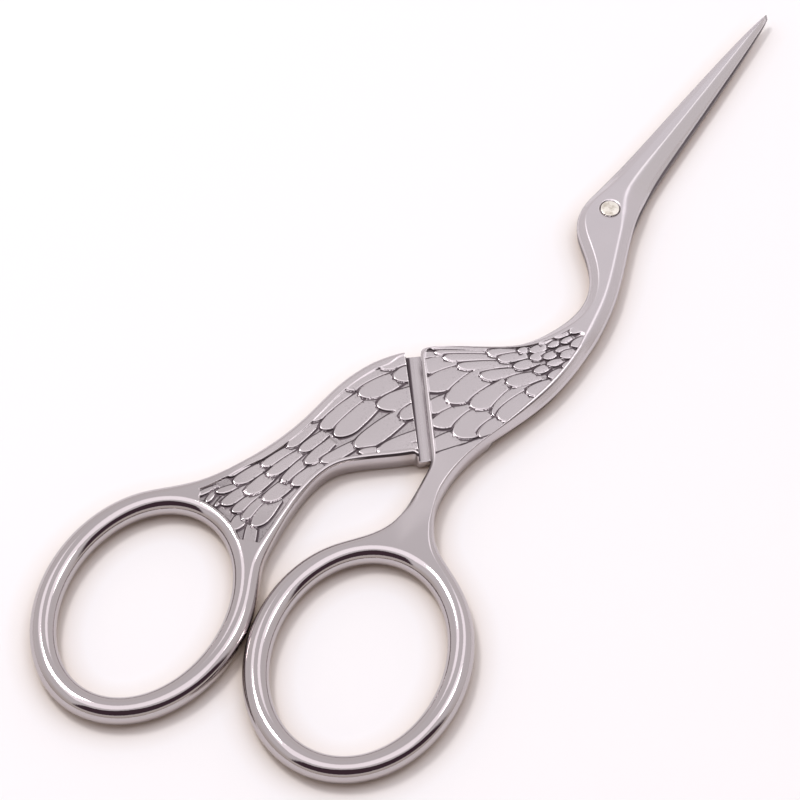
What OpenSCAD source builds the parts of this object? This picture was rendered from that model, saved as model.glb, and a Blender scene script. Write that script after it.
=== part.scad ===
// Stork embroidery scissors: two steel halves lapped flat on one pivot screw.
// The closed scissors lie flat, tip along +Y, thickness along +Z.
// Outlines are drawn about the pivot, then moved so that the origin is the
// middle of the closed scissors' box, on the plane that they rest on.

/* [Thickness] */
// Thickness of the closed scissors, which both finger rings and the rear body have
thickness = 2.6; // [2.2:0.1:3.2]
// Gap between the two lapped layers
lap_gap = 0.04; // [0.02:0.01:0.1]
// Thickness of one blade at its point
tip_thickness = 0.45; // [0.3:0.05:0.7]

/* [Finger rings] */
// Width of the ring wire, seen from above
wire_w = 2.75; // [2.2:0.05:3.2]
// Width of the front half's finger hole
front_hole_w = 17.1; // [15:0.1:19]
// Length of the front half's finger hole
front_hole_l = 22.7; // [20:0.1:25]
// Lean of the front half's finger hole, counter-clockwise from the length
front_hole_lean = 18; // [8:1:22]
// Width of the back half's finger hole
back_hole_w = 16.2; // [14:0.1:18]
// Length of the back half's finger hole
back_hole_l = 22.6; // [20:0.1:25]
// Lean of the back half's finger hole, counter-clockwise from the length
back_hole_lean = 11; // [5:1:18]
// Gap between the two rings where they stop the closing
ring_gap = 0.12; // [0.05:0.01:0.4]

/* [Blades] */
// Length from the pivot to the points of the blades
blade_l = 33.5; // [28:0.1:40]
// Width of one blade at its root
blade_w = 4.2; // [3.8:0.1:4.6]
// How far each blade's back stands past the other blade's edge
back_reach = 0.2; // [0.1:0.05:0.4]

/* [Body] */
// Width of the open channel between the two feathered bodies
channel_w = 1.5; // [1:0.1:2.2]
// Width of the bevels along the neck
neck_bevel = 0.95; // [0.5:0.05:1.3]
// Depth of the bevel along the neck's inner side
bevel_depth = 0.7; // [0.3:0.05:0.9]
// Width of the slanted flank along the front body's outer side
flank_w = 0.75; // [0.4:0.05:0.9]
// Height of the wall left under the front body's flank
flank_wall = 0.2; // [0.15:0.05:0.4]
// How far the back half's tongue hides inside the front half's outline
tongue_inset = 0.2; // [0.1:0.05:0.6]

/* [Pivot] */
// Diameter of the pivot screw's shank
screw_d = 2; // [1.6:0.1:2.6]
// Diameter of the screw head, let into the back half
head_d = 3.2; // [2.8:0.1:3.4]
// Height of the screw head
head_h = 0.6; // [0.4:0.05:0.8]
// Running clearance round the shank and the head, on the radius
pivot_play = 0.04; // [0.02:0.01:0.08]
// How far the screw's end stands proud of the front half
screw_proud = 0.08; // [0:0.01:0.2]
// Width of the slot in the screw head
slot_w = 0.6; // [0.4:0.05:0.9]
// Depth of the slot in the screw head
slot_depth = 0.35; // [0.2:0.05:0.5]

/* [Hidden] */
$fn = 48;
steel = "#c9c3c6";
screw_steel = "#e6dfd2";

lap = thickness / 2;              // height of the plane between the layers
layer = lap - lap_gap / 2;        // thickness of one layer
ring_stations = 10;               // stations from the bottom of a ring to its crotch
ring_step = 180 / ring_stations;
arc_points = 4;                   // points of each rounded edge in a section
loop = 4 * arc_points;            // points of one limb's section
wire_drop = 0.92 * lap;           // how far a ring's rounding falls from its crown
step_run = 0.03;                  // share of a station that a step between layers takes
sliver = 0.1;                     // thickness left along a cutting edge
slack = 1;                        // how far a cutter runs past what it cuts

// Curves
function turned(angle, p) =
    [p.x * cos(angle) - p.y * sin(angle), p.x * sin(angle) + p.y * cos(angle)];
function mix(a, b, share) = a + (b - a) * share;
function ease(x) = let (c = min(max(x, 0), 1)) c * c * (3 - 2 * c);
// Uniform cubic B-spline through equally spaced controls, ending on its last control
function spline(p, s) =
    let (last = len(p) - 1,
         i = max(min(floor(s), last - 1), 0),
         t = s - i,
         before = i > 0 ? p[i - 1] : 2 * p[0] - p[1],
         after = i + 2 > last ? 2 * p[last] - p[last - 1] : p[i + 2])
    (before * pow(1 - t, 3) + p[i] * (3 * pow(t, 3) - 6 * t * t + 4)
        + p[i + 1] * (3 * t * t + 3 * t + 1 - 3 * pow(t, 3)) + after * pow(t, 3)) / 6;

// An oval is [centre, half width and half length, lean]
function oval_point(oval, angle, extra = 0) =
    oval[0] + turned(oval[2], [(oval[1].x + extra) * cos(angle), (oval[1].y + extra) * sin(angle)]);
function oval_normal(oval, angle) =
    let (n = [cos(angle) / oval[1].x, sin(angle) / oval[1].y]) turned(oval[2], n / norm(n));
// How far an oval with the wire round it reaches in a direction, as a vector to that point
function oval_reach(size, lean, direction) =
    let (half = size / 2 + [wire_w, wire_w],
         d = turned(-lean, direction),
         h = norm([half.x * d.x, half.y * d.y]))
    turned(lean, [half.x * half.x * d.x, half.y * half.y * d.y] / h);

// The rings meet at one point of the closed scissors, which places both of them
ring_touch = [-1.5, -63.6];
touch_facing = 17;
touch_direction = turned(touch_facing, [1, 0]);
front_size = [front_hole_w, front_hole_l];
back_size = [back_hole_w, back_hole_l];
front_oval = [ring_touch + touch_direction * ring_gap / 2
    + oval_reach(front_size, front_hole_lean, touch_direction), front_size / 2, front_hole_lean];
back_oval = [ring_touch - touch_direction * ring_gap / 2
    - oval_reach(back_size, back_hole_lean, touch_direction), back_size / 2, back_hole_lean];

// The channel is a straight band between the two bodies
channel_foot = [1.5, -37.5];
channel_head = [-6.9, -27.4];
channel_across = turned(-90, (channel_head - channel_foot) / norm(channel_head - channel_foot));
function channel_side(share, side) =
    mix(channel_foot, channel_head, share) + channel_across * side * channel_w / 2;

// A station is [left, right, left bevel, right bevel, [flatness, middle]]: the two points of the
// outline, the width and depth of the bevels there, how flat these bevels are, from 1 for round
// to 2 for straight, and the share of the way from right to left where the two sides meet.
wire_bevel = [0.47 * wire_w, wire_drop];
// A spline falls inside the controls of a curve: this much more radius makes up for it
spline_gain = 3 / (2 + cos(ring_step));
function ring_station(oval, crotch, j) =
    let (gone = ring_step * (ring_stations - j),
         reach = wire_w + (spline_gain - 1) * (norm(oval[1]) / sqrt(2) + wire_w))
    [oval_point(oval, crotch + gone, reach), oval_point(oval, crotch - gone, reach),
     wire_bevel, wire_bevel, [1, 0.5]];

// Blade of the front half, from its root: the back is on the left, the edge on the right
blade_root = 4.2;
blade_lean = -0.019;
function blade_middle(y) = [blade_lean * (y - blade_root) - 0.05, y];
function blade_station(share) =
    let (y = mix(blade_root, blade_l, share),
         back = blade_w / 2 * (1 - 0.72 * share - 0.18 * pow(share, 6)),
         edge = back - back_reach * (1 - pow(share, 4)),
         edge_depth = mix(layer, tip_thickness, share) - sliver)
    [blade_middle(y) - [back, 0], blade_middle(y) + [edge, 0], [0.45 * back, 0.3 * edge_depth],
     [edge, edge_depth], [2, 0.6]];
blade_stations = [for (share = [0.08, 0.25, 0.45, 0.65, 0.82, 0.93, 1]) blade_station(share)];
function mirrored(station) =
    let (axis = function(p) [2 * blade_middle(p.y).x - p.x, p.y])
    [axis(station[1]), axis(station[0]), station[3], station[2],
     [station[4].x, 1 - station[4].y]];

// Neck and head, from the body up to the blade
neck = [neck_bevel, bevel_depth];
flank = [flank_w, layer - flank_wall];
neck_flank = [neck_bevel, layer - 2 * flank_wall];
neck_stations = [
    [[3.7, -16.8], [8.2, -17], neck * 0.7, flank, [1.7, 0.5]],
    [[4.3, -14.4], [8, -14.6], neck, neck_flank, [1.8, 0.5]],
    [[4.5, -12.3], [7.55, -12.2], neck, neck_flank, [2, 0.5]],
    [[4, -10.1], [7, -9.8], neck, neck_flank, [2, 0.5]],
    [[2.7, -8], [6.15, -7.4], neck, neck_flank, [2, 0.5]],
    [[1, -6.3], [5.2, -5], neck, neck_flank, [2, 0.5]],
    [[-0.8, -4.9], [4.2, -2.7], neck, neck_flank, [2, 0.5]],
    [[-2.2, -3.4], [3.5, -0.9], neck * 0.9, neck_flank, [2, 0.5]]];
front_head = [
    [[-2.75, -1.1], [2.95, 0.6], neck * 0.6, [1.2, bevel_depth], [2, 0.55]],
    [[-2.6, 1.2], [2.55, 2.2], neck * 0.8, [1.8, bevel_depth], [2, 0.6]],
    [[-2.45, 3.2], [2.3, 3.5], neck, [2.1, layer - sliver], [2, 0.6]]];
back_head = [
    [[-2.5, -1.1], [3, 0.6], neck * 0.6, neck * 0.6, [2, 0.45]],
    [[-2.35, 1.4], [2.6, 2.4], neck * 0.6, neck * 0.8, [2, 0.4]],
    [[-2.3, 3.4], [2.35, 3.7], [2, layer - sliver], neck, [2, 0.4]]];

// Front half: ring, leg, feathered front body, neck, head and blade
front_crotch = 90;
front_step = ring_stations + 4.5;     // where the underside steps up to clear the tongue
leg_bevel = [0.5, 0.5];
leg_flank = [0.55, 0.75];
front_leg = [
    [oval_point(front_oval, front_crotch + ring_step, wire_w + 0.1),
     oval_point(front_oval, front_crotch - ring_step, wire_w + 0.75),
     wire_bevel, wire_bevel, [1, 0.5]],
    [[3.3, -46.3], [6.9, -43.6], [1, 0.9], [0.9, 0.9], [1, 0.5]],
    [[3.5, -44], [5.85, -41.7], [0.7, 0.7], leg_flank, [1.2, 0.5]],
    [[3.3, -41.7], [5.35, -39.3], leg_bevel, leg_flank, [1.3, 0.5]],
    [[2.95, -39.8], [5.15, -36.7], leg_bevel, leg_flank, [1.4, 0.5]]];
plate_bevel = [0.3, 0.25];
rim_bevel = [0.6, 0.5];
front_body = [
    [channel_side(-0.08, 1), [5.5, -33.2], plate_bevel, leg_flank, [1.5, 0.5]],
    [channel_side(0.04, 1), [6.5, -30], plate_bevel, flank, [1.6, 0.5]],
    [channel_side(0.34, 1), [7.2, -27.7], plate_bevel, flank, [1.7, 0.5]],
    [channel_side(0.63, 1), [7.65, -25.9], plate_bevel, flank, [1.7, 0.5]],
    [channel_side(0.9, 1), [7.95, -24.4], plate_bevel, flank, [1.7, 0.5]],
    [channel_side(1.03, 1), [8.15, -23], plate_bevel, flank, [1.7, 0.5]],
    [[-5.35, -25.45], [8.25, -21.7], [0.5, 0.4], flank, [1.6, 0.5]],
    [[-3, -23.85], [8.3, -20.6], rim_bevel, flank, [1.6, 0.5]],
    [[-0.6, -22.3], [8.3, -19.7], rim_bevel, flank, [1.6, 0.5]],
    [[1.45, -20.7], [8.3, -18.9], rim_bevel, flank, [1.6, 0.5]],
    [[2.8, -18.8], [8.25, -18], rim_bevel, flank, [1.6, 0.5]]];
function ring_part(oval, crotch) =
    [for (j = [-1 : ring_stations - 2]) ring_station(oval, crotch, j)];
front_stations = concat(ring_part(front_oval, front_crotch), front_leg, front_body,
                        neck_stations, front_head, blade_stations);

// Back half: ring, feathered rear body, tongue under the front body, neck, head and blade
back_crotch = 72;
back_step = ring_stations + 10;       // where the top steps down to the tongue
rear_bevel = [0.6, 0.5];
rear_edge = [0.3, 0.3];
back_body = [
    [[-15.6, -52.6], [-5.15, -55.2], [1.1, 1], [1, 0.9], [1, 0.5]],
    [[-14.2, -50.2], [-5.65, -52.4], [0.8, 0.7], [0.7, 0.7], [1, 0.5]],
    [[-13.3, -48], [-5.95, -50], rear_bevel, [0.5, 0.5], [1.2, 0.5]],
    [[-12.5, -45.8], [-6.05, -47.8], rear_bevel, [0.4, 0.4], [1.2, 0.5]],
    [[-11.85, -43.3], [-5.95, -45.8], rear_bevel, rear_edge, [1.2, 0.5]],
    [[-11.4, -40.8], [-5.4, -43.7], rear_bevel, rear_edge, [1.2, 0.5]],
    [[-11.2, -38.3], [-4.2, -42.25], rear_bevel, rear_edge, [1.2, 0.5]],
    [[-11, -35.7], [-2.7, -40.85], rear_bevel, rear_edge, [1.2, 0.5]],
    [[-10.5, -33.2], [-1.2, -39.55], rear_bevel, rear_edge, [1.2, 0.5]],
    [[-9.65, -30.8], [-0.1, -38.55], rear_bevel, rear_edge, [1.2, 0.5]],
    [[-8.5, -28.95], channel_side(0.03, -1), rear_bevel, rear_edge, [1.2, 0.5]],
    [channel_side(1, -1), channel_side(-0.015, -1), rear_edge, rear_edge, [1.2, 0.5]]];

// The tongue keeps inside the front half's outline, and clear of its step
function front_left(s) = spline([for (p = front_stations) p[0]], s + 1);
function front_right(s) = spline([for (p = front_stations) p[1]], s + 1);
step_foot = front_left(front_step);
step_head = front_right(front_step);
step_in = turned(90, (step_head - step_foot) / norm(step_head - step_foot));
function inset(station, by) =
    let (across = (station[1] - station[0]) / norm(station[1] - station[0]))
    [station[0] + across * by, station[1] - across * by, station[2], station[3], station[4]];
tongue_bevel = [0.5, 0.4];
function tongue_station(left, right) =
    [left, right, tongue_bevel, tongue_bevel, [1.4, 0.5]];
function along_step(share) = mix(step_foot, step_head, share) + step_in * tongue_inset;
tongue = [
    tongue_station(channel_side(1, -0.2), along_step(-0.02)),
    tongue_station(channel_side(1, 0.5), along_step(0.2)),
    tongue_station(front_body[6][0] + [0.3, -0.3], along_step(0.45)),
    tongue_station(front_body[7][0] + [0.2, -0.3], along_step(0.7)),
    tongue_station(mix(front_body[7][0], front_body[8][0], 0.6) + [0.2, -0.2], along_step(0.95)),
    tongue_station(front_body[8][0] + [0.6, 0.1], front_body[3][1] - [0.35, 0]),
    tongue_station(front_body[9][0] + [0.2, -0.2], front_body[4][1] - [0.25, 0]),
    tongue_station(front_body[10][0] + [0.2, -0.2], front_body[6][1] - [0.2, 0])];
back_stations = concat(ring_part(back_oval, back_crotch), back_body, tongue,
                       [for (p = neck_stations) inset(p, 0.03)], back_head,
                       [for (p = blade_stations) mirrored(p)]);

// The origin is the middle of the closed scissors' box
left_most = min([for (a = [0 : 5 : 355]) oval_point(back_oval, a, wire_w).x]);
right_most = max([for (a = [0 : 5 : 355]) oval_point(front_oval, a, wire_w).x]);
low_most = min([for (a = [0 : 5 : 355]) oval_point(back_oval, a, wire_w).y]);
pivot = -[(left_most + right_most) / 2, (low_most + blade_l) / 2];

// Solids
// Rows of a half are places along its stations, two to a station, and a pair at the step
function places(stations, step) =
    let (last = len(stations) - 2,
         even = [for (s = [0 : 0.5 : last]) if (abs(s - step) > 2 * step_run) s],
         below = [for (s = even) if (s < step) s],
         above = [for (s = even) if (s > step) s])
    concat(below, [step, step + step_run], above);

// Points of a rounded edge, from its wall inwards, as [way in, fall from the crown]
function edge_arc(bevel, flatness) =
    [for (i = [0 : arc_points - 1]) let (a = 90 * i / (arc_points - 1))
        [bevel.x * (1 - pow(cos(a), flatness)), bevel.y * (1 - pow(sin(a), flatness))]];
function reversed(list) = [for (i = [len(list) - 1 : -1 : 0]) list[i]];
function lifted(p, z) = [p.x, p.y, z];

// One limb's section at a place: round the outer edge, then round the hole's edge or the middle
function section(stations, oval, crotch, step, s, side) =
    let (st = spline(stations, s + 1),
         last = len(stations) - 2,
         blade_share = max(0, (s - last + len(blade_stations)) / len(blade_stations)),
         full = s <= step,
         top = lap + lap_gap / 2 + mix(layer, tip_thickness, blade_share),
         floor_z = full ? 0 : lap + lap_gap / 2,
         angle = crotch + side * ring_step * (ring_stations - s),
         on_ring = s <= ring_stations,
         fork = oval_point(oval, crotch, 0.55 * wire_w),
         middle = mix(fork, mix(st[1], st[0], st[4].y), ease((s - ring_stations) / 2)),
         inner = on_ring ? oval_point(oval, angle) : middle,
         outer = side > 0 ? st[0] : st[1],
         bevel = side > 0 ? st[2] : st[3],
         inwards = (inner - outer) / norm(inner - outer),
         arc = edge_arc(bevel, st[4].x),
         hole_arc = edge_arc(wire_bevel, 1),
         out = oval_normal(oval, angle))
    concat(
        [for (p = reversed(arc))
            lifted(outer + inwards * p.x, full ? floor_z + p.y : floor_z + 0.02 * p.y)],
        [for (p = arc) lifted(outer + inwards * p.x, top - p.y)],
        [for (p = reversed(hole_arc))
            on_ring ? lifted(inner + out * p.x, top - p.y) : lifted(inner, top)],
        [for (p = hole_arc)
            on_ring ? lifted(inner + out * p.x, floor_z + p.y) : lifted(inner, floor_z)]);

module half(stations, oval, crotch, step) {
    rows = places(stations, step);
    last = len(rows) - 1;
    fork_row = search(ring_stations, rows)[0];
    points = [for (side = [1, -1], s = rows)
        each section(stations, oval, crotch, step, s, side)];
    // Both limbs share the ring's bottom, the crotch and the middle of what lies above it
    function at(side, row, j) =
        let (k = j % loop,
             shared = row == 0 || (k >= loop / 2 && row >= fork_row),
             merged = k < 3 * arc_points ? loop / 2 : 3 * arc_points,
             c = row > fork_row && k >= loop / 2 ? merged : k)
        ((shared ? 0 : side) * len(rows) + row) * loop + c;
    function quad(side, row, j) =
        let (a = at(side, row, j), b = at(side, row, j + 1),
             c = at(side, row + 1, j + 1), d = at(side, row + 1, j))
        side == 0 ? [[a, b, c], [a, c, d]] : [[a, c, b], [a, d, c]];
    walls = [for (side = [0, 1], row = [0 : last - 1], j = [0 : loop - 1])
        if (row < fork_row || j < loop / 2 || j == loop - 1) each quad(side, row, j)];
    hub = at(0, last, loop / 2);
    end = [for (side = [0, 1], j = [0 : loop / 2 - 1])
        let (a = j == 0 ? at(0, last, loop - 1) : at(side, last, j - 1), b = at(side, last, j))
        side == 0 ? [hub, a, b] : [hub, b, a]];
    faces = [for (f = concat(walls, end)) if (f[0] != f[1] && f[1] != f[2] && f[2] != f[0]) f];
    polyhedron(points, faces, convexity = 12);
}

module front_half() {
    color(steel)
        translate(pivot)
            difference() {
                half(front_stations, front_oval, front_crotch, front_step);
                translate([0, 0, -slack])
                    cylinder(h = thickness + 2 * slack, d = screw_d);
            }
}

// The back half is drawn upside down, like the front half, and turned over
module back_half() {
    color(steel)
        translate([pivot.x, pivot.y, thickness])
            mirror([0, 0, 1])
                difference() {
                    half(back_stations, back_oval, back_crotch, back_step);
                    translate([0, 0, -slack])
                        cylinder(h = thickness + 2 * slack, d = screw_d + 2 * pivot_play);
                    translate([0, 0, thickness - head_h - pivot_play])
                        cylinder(h = head_h + pivot_play + slack, d = head_d + 2 * pivot_play);
                }
}

module pivot_screw() {
    color(screw_steel)
        translate(pivot)
            difference() {
                union() {
                    cylinder(h = thickness + screw_proud, d = screw_d);
                    cylinder(h = head_h, d = head_d);
                }
                translate([-head_d, -slot_w / 2, -slack])
                    cube([2 * head_d, slot_w, slot_depth + slack]);
            }
}

front_half();
back_half();
pivot_screw();
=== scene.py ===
import math
import bpy
import numpy as np
from mathutils import Matrix, Vector


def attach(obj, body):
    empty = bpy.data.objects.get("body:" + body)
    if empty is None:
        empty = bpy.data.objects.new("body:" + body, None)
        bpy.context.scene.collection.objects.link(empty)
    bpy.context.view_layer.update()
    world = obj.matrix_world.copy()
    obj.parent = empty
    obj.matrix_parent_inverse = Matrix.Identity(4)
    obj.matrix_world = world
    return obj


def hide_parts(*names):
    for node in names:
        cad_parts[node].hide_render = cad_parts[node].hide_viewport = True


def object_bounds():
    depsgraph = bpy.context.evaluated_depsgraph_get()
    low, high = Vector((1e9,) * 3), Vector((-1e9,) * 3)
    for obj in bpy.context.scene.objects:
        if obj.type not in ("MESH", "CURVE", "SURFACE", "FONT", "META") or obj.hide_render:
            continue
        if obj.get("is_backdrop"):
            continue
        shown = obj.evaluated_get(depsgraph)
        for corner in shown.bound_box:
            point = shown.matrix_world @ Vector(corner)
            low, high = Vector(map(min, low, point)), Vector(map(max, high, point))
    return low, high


# Lengths are in mm about the pivot, and become metres in the frame's own place in makeMesh
common = {
    "thickness": 2.6,
    "lapGap": 0.04,
    "wire": 2.75,
    "bladeLength": 33.5,
    "tipThickness": 0.45,
    "sliver": 0.1,
    "pivotPlace": (0.8726, 23.9854),
}
lap = common["thickness"] / 2
layer = lap - common["lapGap"] / 2


# Turning by an angle: (x cos a - y sin a, x sin a + y cos a)
def turned(angle, p):
    a = np.radians(angle)
    p = np.asarray(p, float)
    return np.stack([p[..., 0] * np.cos(a) - p[..., 1] * np.sin(a),
                     p[..., 0] * np.sin(a) + p[..., 1] * np.cos(a)], -1)


# Uniform cubic B-spline through controls c at parameter s = i + t:
# (c[i-1] (1-t)^3 + c[i] (3t^3-6t^2+4) + c[i+1] (3t^2+3t+1-3t^3) + c[i+2] t^3) / 6
def spline(controls, s):
    c = np.asarray(controls, float)
    c = np.concatenate([[2 * c[0] - c[1]], c, [2 * c[-1] - c[-2]]])
    i = np.clip(np.floor(s).astype(int), 0, len(controls) - 2)
    t = (s - i)[:, None]
    return (c[i] * (1 - t) ** 3 + c[i + 1] * (3 * t ** 3 - 6 * t ** 2 + 4)
            + c[i + 2] * (3 * t ** 2 + 3 * t + 1 - 3 * t ** 3) + c[i + 3] * t ** 3) / 6


# Smooth step: 3c^2 - 2c^3 with c = (x - lo) / (hi - lo) held between 0 and 1
def ease(x, lo=0.0, hi=1.0):
    c = np.clip((x - lo) / (hi - lo), 0, 1)
    return c * c * (3 - 2 * c)


# The smooth step turned the other way: 1 - ease
def fall(x, lo, hi):
    return 1 - ease(x, lo, hi)


# Between two values: a (1 - share) + b share
def mix(a, b, share):
    return np.asarray(a, float) * (1 - share) + np.asarray(b, float) * share


# Seeded value noise: a lattice of random values, blended by the smooth step, from -1 to 1
def noise(x, y, cell, seed):
    table = np.random.default_rng(seed).uniform(-1, 1, (64, 64))
    gx, gy = x / cell, y / cell
    ix, iy = np.floor(gx).astype(int), np.floor(gy).astype(int)
    fx, fy = ease(gx - ix), ease(gy - iy)
    v = lambda i, j: table[i % 64, j % 64]
    return ((v(ix, iy) * (1 - fx) + v(ix + 1, iy) * fx) * (1 - fy)
            + (v(ix, iy + 1) * (1 - fx) + v(ix + 1, iy + 1) * fx) * fy)


# Point of an oval with its half sizes widened: centre + turned(lean, (a cos t, b sin t))
def ovalPoint(oval, angle, extra=0.0):
    a = np.radians(angle)
    half = np.asarray(oval["size"]) / 2
    return np.asarray(oval["centre"]) + turned(oval["lean"], np.stack(
        [(half[0] + extra) * np.cos(a), (half[1] + extra) * np.sin(a)], -1))


# Unit normal of the oval: (cos t / a, sin t / b), turned and scaled to length 1
def ovalNormal(oval, angle):
    a = np.radians(angle)
    half = np.asarray(oval["size"]) / 2
    n = np.stack([np.cos(a) / half[0], np.sin(a) / half[1]], -1)
    return turned(oval["lean"], n / np.linalg.norm(n, axis=-1, keepdims=True))


# Vector from an oval's centre to where its outer edge faces d: (a^2 dx, b^2 dy) / |(a dx, b dy)|
def ovalReach(oval, d):
    half = np.asarray(oval["size"]) / 2 + common["wire"]
    e = turned(-oval["lean"], d)
    return turned(oval["lean"], half ** 2 * e / np.linalg.norm(half * e))


rings = {
    "touch": (-1.5, -63.6),
    "facing": 17,
    "gap": 0.12,
    "stations": 10,
    "front": {"size": (17.1, 22.7), "lean": 18, "crotch": 90},
    "back": {"size": (16.2, 22.6), "lean": 11, "crotch": 72},
}
ringStep = 180 / rings["stations"]
facing = turned(rings["facing"], (1, 0))
rings["front"]["centre"] = rings["touch"] + facing * rings["gap"] / 2 + ovalReach(rings["front"], facing)
rings["back"]["centre"] = rings["touch"] - facing * rings["gap"] / 2 - ovalReach(rings["back"], facing)

channelFoot = np.array((1.5, -37.5))
channelHead = np.array((-6.9, -27.4))
channelHalf = 0.75
channelAcross = turned(-90, (channelHead - channelFoot) / np.linalg.norm(channelHead - channelFoot))


# Point on the channel: a share of the way from its foot to its head, and so many half widths across
def channelSide(share, side):
    return mix(channelFoot, channelHead, share) + channelAcross * side * channelHalf


# A station is (left, right, left bevel, right bevel, (flatness, middle)), as in the CAD part
wireBevel = (0.47 * common["wire"], 0.92 * lap)
splineGain = 3 / (2 + math.cos(math.radians(ringStep)))


# Station j of a ring: the two points at ringStep (stations - j) degrees from the crotch. A spline
# through points of a circle runs inside them by the gain, so they stand that much further out:
# wire + (gain - 1) (mean half size + wire)
def ringStation(oval, j):
    gone = ringStep * (rings["stations"] - j)
    half = np.asarray(oval["size"]) / 2
    reach = common["wire"] + (splineGain - 1) * (np.linalg.norm(half) / math.sqrt(2) + common["wire"])
    return (ovalPoint(oval, oval["crotch"] + gone, reach), ovalPoint(oval, oval["crotch"] - gone, reach),
            wireBevel, wireBevel, (1, 0.5))


blade = {
    "start": 4.2,
    "lean": 0.019,
    "shift": 0.05,
    "halfWidth": 2.1,
    "shares": (0.08, 0.25, 0.45, 0.65, 0.82, 0.93, 1),
}


# Middle line of the blades: x = -lean (y - start) - shift
def bladeMiddle(y):
    return np.array((-blade["lean"] * (y - blade["start"]) - blade["shift"], y))


# Station at a share of the blade. Its back is half width (1 - 0.72 share - 0.18 share^6) from the
# middle, its edge 0.2 (1 - share^4) less, and the ground bevel takes the thickness but a sliver
def bladeStation(share):
    y = blade["start"] + (common["bladeLength"] - blade["start"]) * share
    back = blade["halfWidth"] * (1 - 0.72 * share - 0.18 * share ** 6)
    edge = back - 0.2 * (1 - share ** 4)
    depth = layer + (common["tipThickness"] - layer) * share - common["sliver"]
    return (bladeMiddle(y) - (back, 0), bladeMiddle(y) + (edge, 0), (0.45 * back, 0.3 * depth),
            (edge, depth), (2, 0.6))


# The other blade's station: both points turned over the middle line, and the sides swapped
def mirrored(st):
    other = lambda p: (2 * bladeMiddle(p[1])[0] - p[0], p[1])
    return (other(st[1]), other(st[0]), st[3], st[2], (st[4][0], 1 - st[4][1]))


neckBevel = np.array((0.95, 0.7))
bodyBevel, seamBevel = (0.6, 0.5), (0.3, 0.25)
flank, neckFlank, legFlank = (0.75, layer - 0.2), (0.95, layer - 0.4), (0.55, 0.75)
ringPart = lambda oval: [ringStation(oval, j) for j in range(-1, rings["stations"] - 1)]
bladePart = [bladeStation(share) for share in blade["shares"]]
neckPart = [
    ((3.7, -16.8), (8.2, -17), neckBevel * 0.7, flank, (1.7, 0.5)),
    ((4.3, -14.4), (8, -14.6), neckBevel, neckFlank, (1.8, 0.5)),
    ((4.5, -12.3), (7.55, -12.2), neckBevel, neckFlank, (2, 0.5)),
    ((4, -10.1), (7, -9.8), neckBevel, neckFlank, (2, 0.5)),
    ((2.7, -8), (6.15, -7.4), neckBevel, neckFlank, (2, 0.5)),
    ((1, -6.3), (5.2, -5), neckBevel, neckFlank, (2, 0.5)),
    ((-0.8, -4.9), (4.2, -2.7), neckBevel, neckFlank, (2, 0.5)),
    ((-2.2, -3.4), (3.5, -0.9), neckBevel * 0.9, neckFlank, (2, 0.5)),
]
frontHead = [
    ((-2.75, -1.1), (2.95, 0.6), neckBevel * 0.6, (1.2, 0.7), (2, 0.55)),
    ((-2.6, 1.2), (2.55, 2.2), neckBevel * 0.8, (1.8, 0.7), (2, 0.6)),
    ((-2.45, 3.2), (2.3, 3.5), neckBevel, (2.1, layer - 0.1), (2, 0.6)),
]
backHead = [
    ((-2.5, -1.1), (3, 0.6), neckBevel * 0.6, neckBevel * 0.6, (2, 0.45)),
    ((-2.35, 1.4), (2.6, 2.4), neckBevel * 0.6, neckBevel * 0.8, (2, 0.4)),
    ((-2.3, 3.4), (2.35, 3.7), (2, layer - 0.1), neckBevel, (2, 0.4)),
]
frontOval = rings["front"]
frontBody = [
    (channelSide(-0.08, 1), (5.5, -33.2), seamBevel, legFlank, (1.5, 0.5)),
    (channelSide(0.04, 1), (6.5, -30), seamBevel, flank, (1.55, 0.5)),
    (channelSide(0.34, 1), (7.2, -27.7), seamBevel, flank, (1.55, 0.5)),
    (channelSide(0.63, 1), (7.65, -25.9), seamBevel, flank, (1.55, 0.5)),
    (channelSide(0.9, 1), (7.95, -24.4), seamBevel, flank, (1.55, 0.5)),
    (channelSide(1.03, 1), (8.15, -23), seamBevel, flank, (1.55, 0.5)),
    ((-5.35, -25.45), (8.25, -21.7), (0.5, 0.4), flank, (1.55, 0.5)),
    ((-3, -23.85), (8.3, -20.6), bodyBevel, flank, (1.55, 0.5)),
    ((-0.6, -22.3), (8.3, -19.7), bodyBevel, flank, (1.55, 0.5)),
    ((1.45, -20.7), (8.3, -18.9), bodyBevel, flank, (1.55, 0.5)),
    ((2.8, -18.8), (8.25, -18), bodyBevel, flank, (1.55, 0.5)),
]
frontStations = ringPart(frontOval) + [
    (ovalPoint(frontOval, 90 + ringStep, 2.85), ovalPoint(frontOval, 90 - ringStep, 3.5),
     wireBevel, wireBevel, (1, 0.5)),
    ((3.3, -46.3), (6.9, -43.6), (1, 0.9), (0.9, 0.9), (1, 0.5)),
    ((3.5, -44), (5.85, -41.7), (0.7, 0.7), legFlank, (1.2, 0.5)),
    ((3.3, -41.7), (5.35, -39.3), (0.5, 0.5), legFlank, (1.3, 0.5)),
    ((2.95, -39.8), (5.15, -36.7), (0.5, 0.5), legFlank, (1.4, 0.5)),
] + frontBody + neckPart + frontHead + bladePart
frontStep = rings["stations"] + 4.5

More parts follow.
